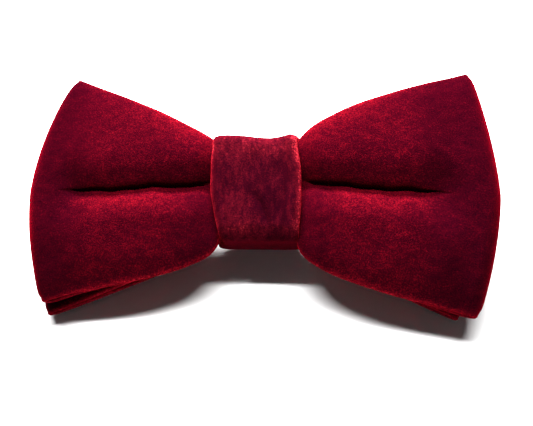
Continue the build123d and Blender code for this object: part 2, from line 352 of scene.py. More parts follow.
FRONT = LoopShape(
    mid={LEFT: 60.6, RIGHT: 59.9},
    corner_reach={
        (LEFT, TOP): 53.3, (LEFT, BOTTOM): 54.8, (RIGHT, TOP): 54.7, (RIGHT, BOTTOM): 53.9,
    },
    corner_half={
        (LEFT, TOP): 33.9, (LEFT, BOTTOM): 28.3, (RIGHT, TOP): 33.8, (RIGHT, BOTTOM): 30.0,
    },
    flare={(LEFT, TOP): 0.83, (LEFT, BOTTOM): 0.37, (RIGHT, TOP): 0.56, (RIGHT, BOTTOM): 0.4},
    tip={(LEFT, TOP): 0.0, (LEFT, BOTTOM): 1.2, (RIGHT, TOP): 0.0, (RIGHT, BOTTOM): 0.5},
    bow_power={(LEFT, TOP): 1.7, (LEFT, BOTTOM): 1.45, (RIGHT, TOP): 1.5, (RIGHT, BOTTOM): 1.5},
    turn=-0.5,
    face=front_face,
    back=inner_back(0.3),
    groove=front_groove,
    waist_inset=0.0,
    recess=1.7,
)
BACK = LoopShape(
    mid={LEFT: 59.5, RIGHT: 53.9},
    corner_reach={
        (LEFT, TOP): 55.4, (LEFT, BOTTOM): 55.4, (RIGHT, TOP): 49.8, (RIGHT, BOTTOM): 49.8,
    },
    corner_half={
        (LEFT, TOP): 30.6, (LEFT, BOTTOM): 31.4, (RIGHT, TOP): 30.6, (RIGHT, BOTTOM): 31.2,
    },
    flare={(LEFT, TOP): 0.9, (LEFT, BOTTOM): 0.81, (RIGHT, TOP): 0.7, (RIGHT, BOTTOM): 0.82},
    tip={(LEFT, TOP): 0.0, (LEFT, BOTTOM): 0.0, (RIGHT, TOP): 0.0, (RIGHT, BOTTOM): 0.0},
    bow_power={(LEFT, TOP): 1.6, (LEFT, BOTTOM): 1.6, (RIGHT, TOP): 1.6, (RIGHT, BOTTOM): 1.6},
    turn=0.3,
    face=rear_face,
    back=inner_back(-0.3),
    groove=no_groove,
    waist_inset=0.5,
    recess=0.3,
)


def row_spread(count):
    """Fractions across the cloth from -1 to 1, closest together at the valley and the edges."""
    s = np.linspace(-1.0, 1.0, count)
    bend = np.abs(s) ** ROW_BEND
    return np.sign(s) * (bend - ROW_CROWD * np.sin(math.pi * bend))


def lowest_near(values, heights, radius):
    """Lowest value within a radius along the height of each station."""
    low = values.copy()
    for shift in range(1, values.shape[1]):
        near = np.abs(heights[:, shift:] - heights[:, :-shift]) <= radius
        if not near.any():
            break
        low[:, :-shift] = np.where(near, np.minimum(low[:, :-shift], values[:, shift:]), low[:, :-shift])
        low[:, shift:] = np.where(near, np.minimum(low[:, shift:], values[:, :-shift]), low[:, shift:])
    return low


def wing_end(shape, side, t):
    """How far out a wing ends, and the heights of its front and its back where they meet there."""
    end = shape.end(side, t)
    y, half = shape.rows(end - FOLD_REACH, side, t, PLY / 2)
    return end, shape.face(side * (end - FOLD_REACH), y, half), shape.back(side * end, y, half)


def wing_faces(shape, side):
    """Outer and inner faces of one wing, from the middle out over its fold and back."""
    t = row_spread(LOOP_ROWS)[None, :]
    end, face_end, back_end = wing_end(shape, side, t)
    out = np.sign(face_end - back_end)
    outer_radius = np.abs(face_end - back_end) / 2.0
    inner_radius = np.maximum(outer_radius - PLY, TIGHTEST_FOLD)
    middle = (face_end + back_end) / 2.0
    turn_at = end - outer_radius
    start = SLIT_HALF / turn_at
    run = start + (1.0 - start) * (np.linspace(0.0, 1.0, LOOP_STATIONS) ** STATION_BEND)[:, None]
    x = run * turn_at
    y, half = shape.rows(x, side, t, PLY / 2)
    settle = smooth(x, turn_at - SETTLE, turn_at)
    face = shape.face(side * x, y, half)
    back = shape.back(side * x, y, half)
    under = out * lowest_near(out * face, y, NEARBY) - out * PLY
    under = between(under, middle + out * inner_radius, settle)
    lid = between(back + out * PLY, middle - out * inner_radius, settle)
    under = out * np.maximum(out * under, out * lid + LEAST_ROOM)
    face = between(face, face_end, settle)
    back = between(back, back_end, settle)
    drawn_in = 1.0 - shape.recess / half * (1.0 - smooth(x, turn_at - RECESS_REACH, turn_at))
    angle = np.linspace(0.0, math.pi, FOLD_STEPS + 2)[1:-1][:, None]
    faces = []
    for front, rear, radius in ((face, back, outer_radius), (under, lid, inner_radius)):
        fold_x = turn_at + radius * np.sin(angle)
        fold_y, _ = shape.rows(fold_x, side, t, PLY / 2)
        fold = np.stack([side * fold_x, fold_y, middle + out * radius * np.cos(angle)], axis=2)
        going = np.stack([side * x, y, front], axis=2)
        coming = np.stack([side * x, y * drawn_in, rear], axis=2)[::-1]
        faces.append(np.concatenate([going, fold, coming]))
    return faces


def loop_faces(shape):
    """Outer and inner faces of a loop's cloth, from its slit round to its slit."""
    c, s = math.cos(shape.turn), math.sin(shape.turn)
    spin = np.array([[c, -s, 0], [s, c, 0], [0, 0, 1]])
    wings = zip(wing_faces(shape, RIGHT), wing_faces(shape, LEFT))
    return [np.concatenate([right[::-1], left]) @ spin.T for right, left in wings]


# ---------------------------------------------------------------- cloth meshes
def edge_arc(outer, inner, outward):
    """Rounded edge that joins the outer and inner faces along one side."""
    middle = (outer + inner) / 2.0
    arm = (outer - inner) / 2.0
    radius = np.linalg.norm(arm, axis=-1, keepdims=True)
    arcs = []
    for step in range(1, EDGE_STEPS + 1):
        angle = math.pi * step / (EDGE_STEPS + 1)
        arcs.append(middle + arm * math.cos(angle) + outward * radius * math.sin(angle))
    return np.stack(arcs, axis=1)


def cloth_rings(outer, inner, across):
    """Closed rings of points, one per station, round the cloth's whole thickness."""
    far = edge_arc(outer[:, -1], inner[:, -1], across)
    near = edge_arc(inner[:, 0], outer[:, 0], -across)
    return np.concatenate([outer, far, inner[:, ::-1], near], axis=1)


def trimmed(faces, axis, cut):
    """Faces with their long edges pulled in along an axis by a hem."""
    low = faces[:, :1, axis] + cut
    high = faces[:, -1:, axis] - cut
    out = faces.copy()
    span = faces[:, -1:, axis] - faces[:, :1, axis]
    out[..., axis] = low + (faces[..., axis] - faces[:, :1, axis]) / span * (high - low)
    return out


def loft(stations, around, first=0):
    """Quads that join consecutive rings."""
    i = np.arange(stations - 1)[:, None] * around + first
    j = np.arange(around)[None, :]
    k = (j + 1) % around
    return np.stack([i + j, i + around + j, i + around + k, i + k], axis=2).reshape(-1, 4).tolist()


def rim(ring, cavity, around):
    """Quads that join a ring to the cavity ring inside it."""
    quads = []
    for j in range(around):
        k = (j + 1) % around
        quads.append((ring + j, ring + k, cavity + k, cavity + j))
    return quads


def cap(ring, across, around):
    """Faces that close a cut end, strip by strip between the cloth's two faces."""
    far = [ring + across + EDGE_STEPS + across - 1 - j for j in range(across)]
    faces = [(ring + j, ring + j + 1, far[j + 1], far[j]) for j in range(across - 1)]
    faces.append([ring + across - 1 + j for j in range(EDGE_STEPS + 2)])
    faces.append([ring] + [ring + around - 1 - j for j in range(EDGE_STEPS)] + [far[0]])
    return faces


def edge_sheen_mask(rings, axis, width):
    """1 along a cloth's long edges, falling to 0 within a width, for each point of its rings: where the
    painted sheen lies.
    """
    along = rings[..., axis]
    from_low = along - along.min(axis=1, keepdims=True)
    from_high = along.max(axis=1, keepdims=True) - along
    return np.exp(-(np.minimum(from_low, from_high) / width) ** 2)


def mark_nap_and_painted_light(obj, surface_marks):
    """Keep each point's painted light and shade, with the knot's nap patches, for the velvet's material;
    points left over have none.
    """
    values = np.zeros(len(obj.data.vertices))
    values[:surface_marks.size] = surface_marks.ravel()
    obj.data.attributes.new("nap_and_painted_light", "FLOAT", "POINT").data.foreach_set("value", values)


def new_object(name, points, faces):
    """A smooth closed mesh in the row, its faces pointing outwards."""
    mesh = bpy.data.meshes.new(name)
    mesh.from_pydata(to_row(np.asarray(points)).tolist(), [], faces)
    work = bmesh.new()
    work.from_mesh(mesh)
    bmesh.ops.recalc_face_normals(work, faces=work.faces)
    work.to_mesh(mesh)
    work.free()
    mesh.shade_smooth()
    obj = bpy.data.objects.new(name, mesh)
    bpy.context.scene.collection.objects.link(obj)
    return obj


def inside(outer, inner, axis, hem, skin):
    """A cloth's faces moved in by a skin's thickness and a hem, at every few stations."""
    picked = sorted(set(range(0, len(outer), CAVITY_STRIDE)) | {len(outer) - 1})
    share = skin / PLY
    return [trimmed(between(outer, inner, s)[picked], axis, hem) for s in (share, 1 - share)]


def hollow_cloth(name, outer, inner, axis, hem, surface_marks):
    """Velvet folded into a flat tube, with room inside for its interlining."""
    across = np.eye(3)[axis]
    rings = cloth_rings(outer, inner, across)
    cavity = cloth_rings(*inside(outer, inner, axis, hem, VELVET), across)
    stations, around = rings.shape[:2]
    first = stations * around
    last = first + (len(cavity) - 1) * around
    faces = loft(stations, around) + loft(len(cavity), around, first)
    faces += rim(0, first, around) + rim((stations - 1) * around, last, around)
    points = np.concatenate([rings.reshape(-1, 3), cavity.reshape(-1, 3)])
    cloth = new_object(name, points, faces)
    # Each point's painted light and shade, with the knot's nap patches, kept for the velvet's material.
    mark_nap_and_painted_light(cloth, surface_marks(rings))
    return cloth


def inlay_cloth(name, outer, inner, axis, hem):
    """The single sheet of interlining inside a tube of velvet."""
    rings = cloth_rings(*inside(outer, inner, axis, hem, VELVET + LINING_GAP), np.eye(3)[axis])
    stations, around = rings.shape[:2]
    count = outer.shape[1]
    faces = loft(stations, around) + cap(0, count, around) + cap((stations - 1) * around, count, around)
    return new_object(name, rings.reshape(-1, 3), faces)


# ---------------------------------------------------------------- knot band
# The band's way round the loops: half its depth, its reach up and down, and its two ends, which lie
# behind with one lapped over the other.
BAND_DEPTH = 7.0
BAND_TOP = 13.9
BAND_LOW = 12.6
BAND_CORNER = 2.6
BAND_LAP_START = -2.6
BAND_LAP_END = -10.8
BAND_UNDER_END = -6.4
BAND_LAP_GAP = 0.2
BAND_LAP_BEND = 1.8
BAND_BEND_STEPS = 13
BAND_STEP = 0.35
BAND_COLUMNS = 61
COLUMN_CROWD = 0.08

# Its half width, and how that changes over the upper and the lower part of its face: each (change,
# low, high) is along the height as a share from 0 to 1, and comes in over a span of z.
BAND_FRONT = (1.0, 6.0)
BAND_TUCK = {LEFT: (-7.0, 0.0), RIGHT: BAND_FRONT}
BAND_HALF = {LEFT: 11.5, RIGHT: 11.2}
BAND_TOP_CHANGE = {LEFT: (0.3, 0.0, 1.0), RIGHT: (-1.2, 0.1, 1.0)}
BAND_LOW_CHANGE = {LEFT: (-2.7, -0.1, 1.1), RIGHT: (-0.3, 0.3, 1.0)}

# Its face: the crown, the turned hems along both edges, a slanting fold, fine upright streaks as
# (height, radians per millimetre, phase, sway), and the saddle at the top.
BAND_CROWN = 0.9
CROWN_POWER = 4
CROWN_SIDE_LOSS = 0.3
BAND_HEM = {LEFT: ((0.22, 0.6, 0.6), (-0.18, 1.7, 0.45)), RIGHT: ((0.42, 0.9, 0.8), (-0.32, 2.5, 0.55))}
HEM_FADE = 0.8
HEM_FADE_SPAN = (11.0, 13.3)
BAND_FOLD_AT = (0.5, -3.0)
BAND_FOLD_SLOPE = 0.42
BAND_FOLD = ((-0.5, 0.0, 1.0),)
BAND_FOLD_SPAN = (1.0, 5.0, 11.0, 13.5)
STREAKS = ((0.03, 1.9, 0.0, 0.4), (0.02, 3.1, 1.0, 0.0))
STREAK_SWAY = 0.35
BAND_RIPPLE = 0.1
BAND_PHASE = 0.9
BAND_EDGE_ROLL = 0.25
BAND_EDGE_POWER = 12
SADDLE = ((0.75, 0.2, 0.45),)
SADDLE_SIDE_RISE = 0.25
SADDLE_SIDE_SPAN = (0.45, 0.85)
SADDLE_SPANS = ((10.5, 13.0), (-2.0, 4.0))


def rounded_bend(before, at, after, radius, steps):
    """Points round one corner of a line in the plane."""
    a = (before - at) / np.linalg.norm(before - at)
    b = (after - at) / np.linalg.norm(after - at)
    half = math.acos(np.clip(a @ b, -1, 1)) / 2
    centre = at + (a + b) / np.linalg.norm(a + b) * radius / math.sin(half)
    arm = at + a * radius / math.tan(half) - centre
    turn = 1 if a[0] * b[1] - a[1] * b[0] < 0 else -1
    points = []
    for share in np.linspace(0, 1, steps):
        angle = turn * (math.pi - 2 * half) * share
        c, s = math.cos(angle), math.sin(angle)
        points.append(centre + np.array([arm[0] * c - arm[1] * s, arm[0] * s + arm[1] * c]))
    return points


def band_path():
    """The band's middle line in (y, z): from its covered start round to its lapped end."""
    lap = BAND_DEPTH + PLY + BAND_LAP_GAP
    corners = np.array([
        (BAND_UNDER_END, -BAND_DEPTH), (-BAND_LOW, -BAND_DEPTH), (-BAND_LOW, BAND_DEPTH),
        (BAND_TOP, BAND_DEPTH), (BAND_TOP, -BAND_DEPTH), (BAND_LAP_START, -BAND_DEPTH),
        (BAND_LAP_START - BAND_LAP_BEND, -lap), (BAND_LAP_END, -lap),
    ])
    radii = [BAND_CORNER] * 4 + [BAND_LAP_BEND] * 2
    points = [corners[0]]
    for before, at, after, radius in zip(corners, corners[1:], corners[2:], radii):
        points += rounded_bend(before, at, after, radius, BAND_BEND_STEPS)
    points.append(corners[-1])
    line = np.array(points)
    gaps = np.linalg.norm(np.diff(line, axis=0), axis=1)
    along = np.concatenate([[0], np.cumsum(gaps)])
    at = np.linspace(0, along[-1], int(along[-1] / BAND_STEP) + 1)
    return np.stack([np.interp(at, along, line[:, k]) for k in (0, 1)], axis=1)


def band_half(side, height, z):
    """Half width of the band's outer face on one side."""
    change, *span = BAND_TOP_CHANGE[side]
    half = BAND_HALF[side] + change * smooth(height, *span) * smooth(z, *BAND_FRONT)
    change, *span = BAND_LOW_CHANGE[side]
    return half + change * smooth(-height, *span) * smooth(z, *BAND_TUCK[side])


def band_lift(x, y, s, from_edge, height):
    """How far the front of the band stands out from its middle line."""
    crown = BAND_CROWN * (1 - height ** CROWN_POWER) * (1 - CROWN_SIDE_LOSS * s ** 2)
    hem = np.where(s > 0, bumps(from_edge, BAND_HEM[RIGHT]), bumps(from_edge, BAND_HEM[LEFT]))
    hem = hem * (1 - HEM_FADE * smooth(np.abs(y), *HEM_FADE_SPAN))
    off_fold = (x - BAND_FOLD_AT[0]) + BAND_FOLD_SLOPE * (y - BAND_FOLD_AT[1])
    fold = bumps(off_fold, BAND_FOLD) * plateau(-y, *BAND_FOLD_SPAN)
    streaks = sum(tall * np.sin(pitch * x + phase + sway * np.sin(STREAK_SWAY * y))
                  for tall, pitch, phase, sway in STREAKS)
    return crown + hem + fold + streaks + BAND_RIPPLE * ripple(2 * x, 2 * y, BAND_PHASE)


def band_saddle(s, y, z):
    """How far the band dips between its raised sides where it turns over the top."""
    dip = bumps(s, SADDLE) - SADDLE_SIDE_RISE * smooth(np.abs(s), *SADDLE_SIDE_SPAN)
    return dip * smooth(y, *SADDLE_SPANS[0]) * smooth(z, *SADDLE_SPANS[1])


def band_faces():
    """The knot band's outer and inner faces, wrapped over the top, front and back."""
    path = band_path()
    tangent = np.gradient(path, axis=0)
    tangent /= np.linalg.norm(tangent, axis=1, keepdims=True)
    out_y, out_z = tangent[:, 1:2], -tangent[:, :1]
    y = path[:, :1]
    z = path[:, 1:]
    middle = len(path) // 2
    if out_y[middle, 0] * y[middle, 0] + out_z[middle, 0] * z[middle, 0] < 0:
        out_y, out_z = -out_y, -out_z
    s = np.linspace(-1, 1, BAND_COLUMNS)[None, :]
    s = s + COLUMN_CROWD * np.sin(math.pi * s)
    height = np.clip(y / BAND_TOP, -1, 1)
    half = np.where(s < 0, band_half(LEFT, height, z), band_half(RIGHT, height, z)) - PLY / 2
    x = s * half
    lift = band_lift(x, y, s, half * (1 - np.abs(s)), height) * smooth(z, *BAND_FRONT)
    lift = lift - BAND_EDGE_ROLL * np.abs(s) ** BAND_EDGE_POWER
    outer_gap = PLY / 2 + lift - band_saddle(s, y, z)
    y = y + WAIST_RISE
    outer = np.stack([x, y + out_y * outer_gap, z + out_z * outer_gap], axis=2)
    inner = np.stack([x, y - out_y * PLY / 2 + 0 * x, z - out_z * PLY / 2 + 0 * x], axis=2)
    return outer, inner


# ---------------------------------------------------------------- wadding
# Lobes of its outline are (share of the reach, how many), and its tufts are (height, waves round,
# waves outwards).
WADDING_HALF = (8.4, 9.4)
WADDING_BASE = 5.15
WADDING_RISE = 0.75
WADDING_RINGS = 14
WADDING_AROUND = 72
WADDING_SQUARENESS = 3
WADDING_DOME = 4
WADDING_LOBES = ((0.012, 9), (0.008, 17))
WADDING_TUFT = (0.05, 23, 9)


def wadding_point(share, rise, angle):
    """A point of the pad: how far out, how high over its flat base and which way round."""
    c, s = math.cos(angle), math.sin(angle)
    reach = (abs(c) ** WADDING_SQUARENESS + abs(s) ** WADDING_SQUARENESS) ** (-1 / WADDING_SQUARENESS)
    reach *= 1 + sum(depth * math.sin(lobes * angle) for depth, lobes in WADDING_LOBES)
    depth, around, outwards = WADDING_TUFT
    tuft = depth * math.sin(around * angle + outwards * share) * share * (rise > 0)
    return (WADDING_HALF[0] * reach * share * c, WAIST_RISE + WADDING_HALF[1] * reach * share * s,
            WADDING_BASE + rise + tuft)


def wadding_pad():
    """A thin crowned pad with feathered edges, under the front of the band."""
    points = [(0, WAIST_RISE, WADDING_BASE + WADDING_RISE)]
    shares = [math.sin(math.pi / 2 * k / WADDING_RINGS) for k in range(1, WADDING_RINGS + 1)]
    levels = [(s, WADDING_RISE * math.sqrt(max(0.0, 1 - s ** WADDING_DOME))) for s in shares]
    levels += [(s, 0.0) for s in reversed(shares[:-1])]
    for share, rise in levels:
        for step in range(WADDING_AROUND):
            points.append(wadding_point(share, rise, 2 * math.pi * step / WADDING_AROUND))
    points.append((0, WAIST_RISE, WADDING_BASE))
    faces = []
    last = 1 + (len(levels) - 1) * WADDING_AROUND
    for step in range(WADDING_AROUND):
        after = (step + 1) % WADDING_AROUND
        faces.append((0, 1 + step, 1 + after))
        faces.append((len(points) - 1, last + after, last + step))
        for level in range(len(levels) - 1):
            base = 1 + level * WADDING_AROUND
            above = base + WADDING_AROUND
            faces.append((base + step, base + after, above + after, above + step))
    return new_object("knot_wadding_pad", points, faces)


# ---------------------------------------------------------------- springs
# The ends of the legs are (distance from the middle, height behind the bar's back face).
WIRE = 0.6
COIL_RADIUS = 1.3
COIL_TURNS = 4.5
COIL_PITCH = 0.68
WIRE_SIDES = 14
COIL_STEPS = 30
LEG_STEPS = 10
SOFTEN_PASSES = 3
DOME_ANGLES = (0.45, 0.9, 1.3)
BAR_BACK = -6.0
BAR_LEG_END = (14.4, 0.4)
TAB_LEG_BEND = (17.3, 3.7)
TAB_LEG_END = (14.2, 5.85)
PIVOT_HEIGHT = BAR_BACK - PIVOT_Z


def coil_points(side):
    """Middle line of the right spring's wire, its leg on the bar first, or its mirror image."""
    low = PIVOT_Y - COIL_PITCH * COIL_TURNS / 2
    high = PIVOT_Y + COIL_PITCH * COIL_TURNS / 2
    points = []
    bar_start = (PIVOT_REACH, PIVOT_HEIGHT - COIL_RADIUS)
    for share in np.linspace(0, 1, LEG_STEPS, endpoint=False):
        points.append((between(BAR_LEG_END[0], bar_start[0], share), low,
                       between(BAR_LEG_END[1], bar_start[1], share)))
    steps = int(COIL_STEPS * COIL_TURNS)
    for step in range(steps + 1):
        angle = 2 * math.pi * COIL_TURNS * step / steps
        points.append((PIVOT_REACH + COIL_RADIUS * math.sin(angle), between(low, high, step / steps),
                       PIVOT_HEIGHT - COIL_RADIUS * math.cos(angle)))
    tab_start = (points[-1][0], points[-1][2])
    for begin, end in ((tab_start, TAB_LEG_BEND), (TAB_LEG_BEND, TAB_LEG_END)):
        for share in np.linspace(0, 1, LEG_STEPS + 1)[1:]:
            points.append((between(begin[0], end[0], share), high, between(begin[1], end[1], share)))
    line = np.array(points)
    for _ in range(SOFTEN_PASSES):
        line[1:-1] = 0.25 * line[:-2] + 0.5 * line[1:-1] + 0.25 * line[2:]
    return np.stack([side * line[:, 0], line[:, 1], BAR_BACK - line[:, 2]], axis=1)


def wire_object(name, line):
    """A round wire along a line, with domed ends."""
    tangent = np.gradient(line, axis=0)
    tangent /= np.linalg.norm(tangent, axis=1, keepdims=True)
    normal = np.cross(tangent[0], (0, 1, 0))
    rings = []
    for point, ahead in zip(line, tangent):
        normal = normal - ahead * (normal @ ahead)
        normal /= np.linalg.norm(normal)
        side = np.cross(ahead, normal)
        angle = np.linspace(0, 2 * math.pi, WIRE_SIDES, endpoint=False)[:, None]
        rings.append(point + WIRE / 2 * (np.cos(angle) * normal + np.sin(angle) * side))
    domes = []
    for end, ring, ahead in ((line[0], rings[0], -tangent[0]), (line[-1], rings[-1], tangent[-1])):
        rise = [(math.cos(a), math.sin(a)) for a in DOME_ANGLES]
        domes.append([end + (ring - end) * c + ahead * WIRE / 2 * s for c, s in rise])
    rings = domes[0][::-1] + rings + domes[1]
    faces = loft(len(rings), WIRE_SIDES)
    faces.append(list(range(WIRE_SIDES)))
    faces.append([(len(rings) - 1) * WIRE_SIDES + j for j in range(WIRE_SIDES)])
    return new_object(name, np.concatenate(rings), faces)


# ---------------------------------------------------------------- materials
def node(tree, kind, **settings):
    made = tree.nodes.new(kind)
    for key, value in settings.items():
        setattr(made, key, value)
    return made


def new_material(name):
    material = bpy.data.materials.new(name)
    material.use_nodes = True
    return material, material.node_tree, material.node_tree.nodes["Principled BSDF"]


def bow_space(tree, stretch=(1, 1, 1)):
    """Coordinates in metres along the bow's own axes, stretched for streaky textures."""
    place = node(tree, "ShaderNodeTexCoord")
    turn = node(tree, "ShaderNodeMapping")
    turn.inputs["Rotation"].default_value = (-LEAN, 0, 0)
    tree.links.new(place.outputs["Object"], turn.inputs["Vector"])
    scale = node(tree, "ShaderNodeMapping")
    scale.inputs["Scale"].default_value = stretch
    tree.links.new(turn.outputs["Vector"], scale.inputs["Vector"])
    return scale.outputs["Vector"]


def noise(tree, vector, scale, detail=3.0, roughness=0.55):
    made = node(tree, "ShaderNodeTexNoise")
    made.inputs["Scale"].default_value = scale
    made.inputs["Detail"].default_value = detail
    made.inputs["Roughness"].default_value = roughness
    tree.links.new(vector, made.inputs["Vector"])
    return made.outputs["Fac"]


def ramp(tree, factor, stops):
    """Colours by position along a factor."""
    made = node(tree, "ShaderNodeValToRGB")
    elements = made.color_ramp.elements
    while len(elements) < len(stops):
        elements.new(0.5)
    for element, (position, colour) in zip(elements, stops):
        element.position = position
        element.color = (*colour, 1)
    tree.links.new(factor, made.inputs["Fac"])
    return made.outputs["Color"]


def blend_values(tree, share, first, second):
    mix = node(tree, "ShaderNodeMix", data_type="FLOAT")
    mix.inputs["Factor"].default_value = share
    tree.links.new(first, mix.inputs[2])
    tree.links.new(second, mix.inputs[3])
    return mix.outputs[0]


def combine(tree, operation, *inputs):
    """Sockets and plain numbers worked together."""
    made = node(tree, "ShaderNodeMath", operation=operation)
    for socket, value in zip(made.inputs, inputs):
        if isinstance(value, bpy.types.NodeSocket):
            tree.links.new(value, socket)
        else:
            socket.default_value = value
    return made.outputs["Value"]


def add_bump(tree, bsdf, height, distance):
    bump = node(tree, "ShaderNodeBump")
    bump.inputs["Strength"].default_value = 1.0
    bump.inputs["Distance"].default_value = distance
    tree.links.new(height, bump.inputs["Height"])
    tree.links.new(bump.outputs["Normal"], bsdf.inputs["Normal"])


# Noise scales are per metre, and depths in metres. The first constant below is how far a value of 1 of
# the points' painted light and nap patches moves the pile up its range of tones: painted highlights and
# sheen lift it, painted shade lowers it.
PAINTED_LIGHT_AND_NAP_LIFT = 0.34
CRUSH_SCALE = 330.0
GRAIN_SCALE = 3600.0
TUFT_SCALE = 1900.0
TUFT_SHARE = 0.25
PILE_DEPTH = 0.0002
SHEEN_TINT = (0.34, 0.002, 0.0084, 1)


def velvet_material(name, stretch, tones, crush):
    """Cotton velvet: dense pile with crushed patches, fine grain and a few lighter fibres, and painted
    highlights, painted sheen and painted shade kept on the mesh's points.
    """
    material, tree, bsdf = new_material(name)
    even = bow_space(tree)
    crushed = noise(tree, bow_space(tree, stretch), CRUSH_SCALE, detail=5.0, roughness=0.6)
    grain = noise(tree, even, GRAIN_SCALE, roughness=0.7)
    tufts = noise(tree, even, TUFT_SCALE, roughness=0.6)
    fine = blend_values(tree, TUFT_SHARE, grain, tufts)
    shade = blend_values(tree, crush, fine, crushed)
    # Painted highlights, sheen and shade, with the knot's nap patches, read from the points and broken up
    # by the tufts.
    nap_and_painted_light = node(tree, "ShaderNodeAttribute", attribute_name="nap_and_painted_light").outputs["Fac"]
    patchy_marks = combine(tree, "MULTIPLY", nap_and_painted_light, tufts)
    lifted = combine(tree, "MULTIPLY_ADD", patchy_marks, PAINTED_LIGHT_AND_NAP_LIFT, shade)
    colour = ramp(tree, lifted, tones)
    tree.links.new(colour, bsdf.inputs["Base Color"])
    add_bump(tree, bsdf, fine, PILE_DEPTH)
    bsdf.inputs["Roughness"].default_value = 1.0
    bsdf.inputs["Specular IOR Level"].default_value = 0.0
    bsdf.inputs["Sheen Weight"].default_value = 1.0
    bsdf.inputs["Sheen Roughness"].default_value = 0.35
    bsdf.inputs["Sheen Tint"].default_value = SHEEN_TINT
    return material


WEAVE_DEPTH = 0.0001
WEAVE_STOPS = (0.3, 0.72)


def cloth_material(name, dark, light, scale):
    """Plain woven or fibrous cloth."""
    material, tree, bsdf = new_material(name)
    weave = noise(tree, bow_space(tree), scale, detail=4.0, roughness=0.65)
    tree.links.new(ramp(tree, weave, list(zip(WEAVE_STOPS, (dark, light)))), bsdf.inputs["Base Color"])
    add_bump(tree, bsdf, weave, WEAVE_DEPTH)
    bsdf.inputs["Roughness"].default_value = 0.85
    return material


SMUDGE_SCALE = 420.0
SCRATCH_SCALE = 3000.0
SCRATCH_SHARE = 0.35
SCRATCH_DEPTH = 0.00001
SMUDGE_DARKNESS = 0.8
SMUDGE_STOPS = (0.3, 0.7)


def steel_material(name, colour, low, high, scratch):
    """Metal with smudges, faint scratches and a roughness that varies between low and high."""
    material, tree, bsdf = new_material(name)
    smudge = noise(tree, bow_space(tree), SMUDGE_SCALE, detail=5.0)
    scratches = noise(tree, bow_space(tree, scratch), SCRATCH_SCALE, detail=2.0)
    surface_marks = blend_values(tree, SCRATCH_SHARE, smudge, scratches)
    gloss = node(tree, "ShaderNodeMapRange")
    gloss.inputs["To Min"].default_value = low
    gloss.inputs["To Max"].default_value = high
    tree.links.new(surface_marks, gloss.inputs["Value"])
    tree.links.new(gloss.outputs["Result"], bsdf.inputs["Roughness"])
    dulled = tuple(SMUDGE_DARKNESS * c for c in colour)
    shade = ramp(tree, smudge, list(zip(SMUDGE_STOPS, (dulled, colour))))
    tree.links.new(shade, bsdf.inputs["Base Color"])
    add_bump(tree, bsdf, scratches, SCRATCH_DEPTH)
    bsdf.inputs["Metallic"].default_value = 1.0
    return material


def set_material(obj, material):
    obj.data.materials.clear()
    obj.data.materials.append(material)


WINE_TONES = [(0.34, (0.006, 0.0002, 0.0018)), (0.5, (0.025, 0.0004, 0.0028)),
              (0.66, (0.12, 0.0016, 0.0054)), (0.82, (0.5, 0.012, 0.024))]
KNOT_TONES = [(0.34, (0.005, 0.0002, 0.002)), (0.5, (0.017, 0.0006, 0.003)),
              (0.66, (0.072, 0.0022, 0.0064)), (0.82, (0.42, 0.02, 0.032))]
CRUSHED_ACROSS = (1, 1.6, 1)
CRUSHED_UPRIGHT = (2.6, 1, 1)
BRUSHED_ALONG = (0.1, 1, 1)
BRUSHED_UPRIGHT = (1, 0.1, 1)
wing_velvet = velvet_material("wine_velvet", CRUSHED_ACROSS, WINE_TONES, crush=0.2)
knot_velvet = velvet_material("wine_velvet_knot", CRUSHED_UPRIGHT, KNOT_TONES, crush=0.34)
interlining = cloth_material("red_interlining", dark=(0.05, 0.004, 0.008), light=(0.12, 0.01, 0.02),
                             scale=3000)
cotton = cloth_material("wadding_cotton", dark=(0.5, 0.46, 0.4), light=(0.72, 0.68, 0.6), scale=900)
thread = cloth_material("thread_twist", dark=(0.03, 0.001, 0.004), light=(0.12, 0.004, 0.012),
                        scale=5000)
plated = steel_material("nickel_plate", (0.3, 0.29, 0.275), low=0.28, high=0.45, scratch=BRUSHED_ALONG)
spring_steel = steel_material("spring_wire", (0.26, 0.25, 0.245), low=0.3, high=0.45,
                              scratch=BRUSHED_UPRIGHT)


# ---------------------------------------------------------------- pieces
def finish_piece(obj, material, slot, *nodes):
    """Dress a piece of the bow, hang it on the bow and hide the model's parts that it replaces."""
    set_material(obj, material)
    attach(obj, "bow")
    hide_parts(*nodes)


def make_cloth(name, faces, axis, surface_marks, material, node_name, flat, area, lining_flat, lining_area):
    """A tube of velvet and the interlining inside it."""
    velvet = hollow_cloth(name, *faces, axis, HEM - PLY / 2, surface_marks)
    finish_piece(velvet, material, "velvet", node_name + "_velvet")
    lining = inlay_cloth(name + "_interlining", *faces, axis, HEM - PLY / 2 + LINING_GAP)
    finish_piece(lining, interlining, "interlining", node_name + "_interlining")


ALONG_X, ALONG_Y = 0, 1

# Painted light on a loop: painted sheen along its edges, painted highlights on the crest below the valley
# and on the shoulders by the knot, and painted shade at the pinch low by the knot and towards its ends.
# Rises are (strength, centre, width) and an edge is (strength, width).
CREST = ((0.3, -2.5, 3.5),)
CREST_SPAN = (10, 26, 42, 50)
SHOULDER = ((0.4, 0.0, 4.5),)
SHOULDER_SPAN = (9, 14, 25, 38)
PINCH = 0.22
PINCH_LOW_SPAN = (-1.0, 3.0)
PINCH_FADE = (12, 25)
FACE_SPAN = (3.5, 6.0)
LOOP_EDGE = (0.9, 0.7)
LOOP_END_PAINTED_SHADE = 0.36
LOOP_END_START = {LEFT: 40.0, RIGHT: 35.0}
LOOP_END_RUN = 13.0


